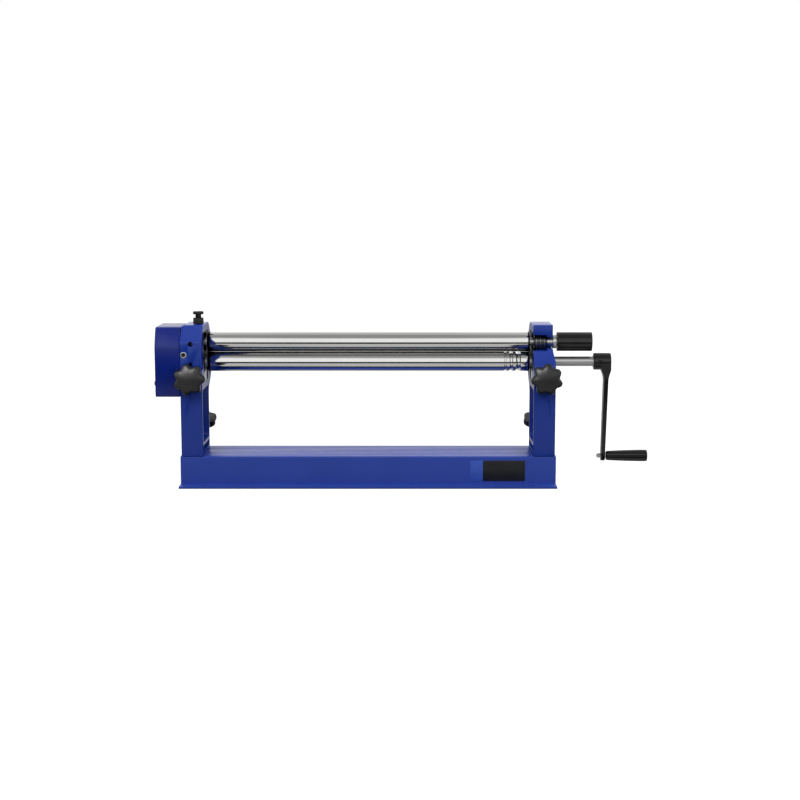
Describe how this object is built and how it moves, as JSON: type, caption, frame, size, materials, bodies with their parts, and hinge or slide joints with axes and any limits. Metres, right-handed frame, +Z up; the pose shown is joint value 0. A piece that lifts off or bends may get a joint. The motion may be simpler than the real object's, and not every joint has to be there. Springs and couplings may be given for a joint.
{
  "type": "slip roll machine",
  "caption": "Hand-cranked bench slip roll with geared rolls, wire grooves, screw-adjusted pinch and rear bending rolls, and an upper roll that swings out.",
  "frame": {"origin": "on the bench, under the middle of the whole machine", "axes": "+X along the rolls towards the crank, -Y towards the operator, +Z up"},
  "size_m": [0.9812, 0.2322, 0.342],
  "materials": {
    "blue_paint": "glossy deep blue enamel",
    "polished_steel": "ground and polished along the roll",
    "turned_steel": "machined",
    "black_steel": "black oxide",
    "bright_zinc": "bright zinc",
    "bronze": "plain bearing bronze",
    "gear_steel": "machined gear steel",
    "cast_iron": "as machined",
    "black_plastic": "moulded black plastic with a satin shine"
  },
  "bodies": {
    "frame": {"base_channel": "blue_paint", "left_side_frame": "blue_paint", "right_side_frame": "blue_paint", "gear_cover": "blue_paint", "clamp_screw": "bright_zinc", "cover_screw_lower": "black_steel", "cover_screw_upper": "black_steel", "pivot_screw": "black_steel", "pivot_locknut": "black_steel", "stub_bush": "bronze", "foot_bolt_left_front": "black_steel", "foot_nut_left_front": "black_steel", "foot_bolt_left_rear": "black_steel", "foot_nut_left_rear": "black_steel", "foot_bolt_right_front": "black_steel", "foot_nut_right_front": "black_steel", "foot_bolt_right_rear": "black_steel", "foot_nut_right_rear": "black_steel"},
    "upper_bearing": {"upper_swivel_block": "cast_iron", "swivel_bush": "bronze", "release_sleeve": "black_steel"},
    "upper_roll_body": {"upper_roll": "polished_steel", "handle_collar": "turned_steel"},
    "release_handle_body": {"release_handle": "black_plastic"},
    "upper_gear_body": {"upper_stub_shaft": "turned_steel", "upper_gear": "gear_steel", "upper_gear_nut": "black_steel"},
    "lower_carriage": {"left_lower_block": "cast_iron", "right_lower_block": "cast_iron", "left_lower_bush": "bronze", "right_lower_bush": "bronze"},
    "lower_roll_body": {"lower_roll": "polished_steel", "lower_gear": "gear_steel", "lower_gear_nut": "black_steel", "crank_arm": "black_plastic", "crank_set_screw": "black_steel", "grip_pin": "turned_steel", "grip_nut": "turned_steel"},
    "crank_grip_body": {"crank_grip": "black_plastic"},
    "left_wedge_body": {"left_wedge": "turned_steel"},
    "right_wedge_body": {"right_wedge": "turned_steel"},
    "left_front_knob_body": {"left_front_screw": "black_steel", "left_front_knob": "black_plastic"},
    "right_front_knob_body": {"right_front_screw": "black_steel", "right_front_knob": "black_plastic"},
    "rear_carriage": {"left_rear_block": "cast_iron", "right_rear_block": "cast_iron", "left_rear_bush": "bronze", "right_rear_bush": "bronze"},
    "rear_roll_body": {"rear_roll": "polished_steel"},
    "left_rear_knob_body": {"left_rear_screw": "black_steel", "left_rear_knob": "black_plastic"},
    "right_rear_knob_body": {"right_rear_screw": "black_steel", "right_rear_knob": "black_plastic"}
  },
  "joints": [
    {"name": "upper_roll_swing", "type": "hinge", "parent": "frame", "child": "upper_bearing", "pos_m": [-0.40755, -0.02907, 0.2815], "axis": [0, 0, -1], "range_deg": [0, 12]},
    {"name": "upper_roll_spin", "type": "hinge", "parent": "upper_bearing", "child": "upper_roll_body", "pos_m": [-0.06925, -0.02907, 0.2815], "axis": [1, 0, 0], "continuous": true},
    {"name": "release_handle_spin", "type": "hinge", "parent": "upper_roll_body", "child": "release_handle_body", "pos_m": [0.34175, -0.02907, 0.2815], "axis": [1, 0, 0], "continuous": true},
    {"name": "upper_gear_spin", "type": "hinge", "parent": "frame", "child": "upper_gear_body", "pos_m": [-0.45225, -0.02907, 0.2815], "axis": [1, 0, 0], "continuous": true},
    {"name": "lower_roll_lift", "type": "slide", "parent": "frame", "child": "lower_carriage", "axis": [0, 0, 1], "range_m": [-0.00255, 0.0003]},
    {"name": "lower_roll_spin", "type": "hinge", "parent": "lower_carriage", "child": "lower_roll_body", "pos_m": [-0.06925, -0.02907, 0.242], "axis": [1, 0, 0], "continuous": true},
    {"name": "crank_grip_spin", "type": "hinge", "parent": "lower_roll_body", "child": "crank_grip_body", "pos_m": [0.44875, -0.02907, 0.051], "axis": [1, 0, 0], "continuous": true},
    {"name": "left_wedge_slide", "type": "slide", "parent": "frame", "child": "left_wedge_body", "axis": [0, 1, 0], "range_m": [-0.002, 0.017]},
    {"name": "right_wedge_slide", "type": "slide", "parent": "frame", "child": "right_wedge_body", "axis": [0, 1, 0], "range_m": [-0.002, 0.017]},
    {"name": "left_front_knob_turn", "type": "hinge", "parent": "frame", "child": "left_front_knob_body", "pos_m": [-0.41975, -0.09907, 0.214], "axis": [0, 1, 0], "range_deg": [-3060, 360]},
    {"name": "right_front_knob_turn", "type": "hinge", "parent": "frame", "child": "right_front_knob_body", "pos_m": [0.28125, -0.09907, 0.214], "axis": [0, 1, 0], "range_deg": [-3060, 360]},
    {"name": "rear_roll_lift", "type": "slide", "parent": "frame", "child": "rear_carriage", "axis": [0, -0.3795, 0.9252], "range_m": [-0.006, 0.014]},
    {"name": "rear_roll_spin", "type": "hinge", "parent": "rear_carriage", "child": "rear_roll_body", "pos_m": [-0.06925, 0.03193, 0.236], "axis": [1, 0, 0], "continuous": true},
    {"name": "left_rear_knob_turn", "type": "hinge", "parent": "rear_carriage", "child": "left_rear_knob_body", "pos_m": [-0.41975, 0.03193, 0.236], "axis": [0, -0.3795, 0.9252], "range_deg": [-1080, 2520]},
    {"name": "right_rear_knob_turn", "type": "hinge", "parent": "rear_carriage", "child": "right_rear_knob_body", "pos_m": [0.28125, 0.03193, 0.236], "axis": [0, -0.3795, 0.9252], "range_deg": [-1080, 2520]}
  ],
  "couplings": [
    {"joint": "upper_gear_spin", "follows": "lower_roll_spin", "ratio": -1},
    {"joint": "upper_roll_spin", "follows": "lower_roll_spin", "ratio": -1},
    {"joint": "left_wedge_slide", "follows": "lower_roll_lift", "ratio": -6.666},
    {"joint": "right_wedge_slide", "follows": "lower_roll_lift", "ratio": -6.666},
    {"joint": "left_front_knob_turn", "follows": "lower_roll_lift", "rad_per_m": 20940},
    {"joint": "right_front_knob_turn", "follows": "lower_roll_lift", "rad_per_m": 20940},
    {"joint": "left_rear_knob_turn", "follows": "rear_roll_lift", "rad_per_m": 3141.5},
    {"joint": "right_rear_knob_turn", "follows": "rear_roll_lift", "rad_per_m": 3141.5}
  ]
}
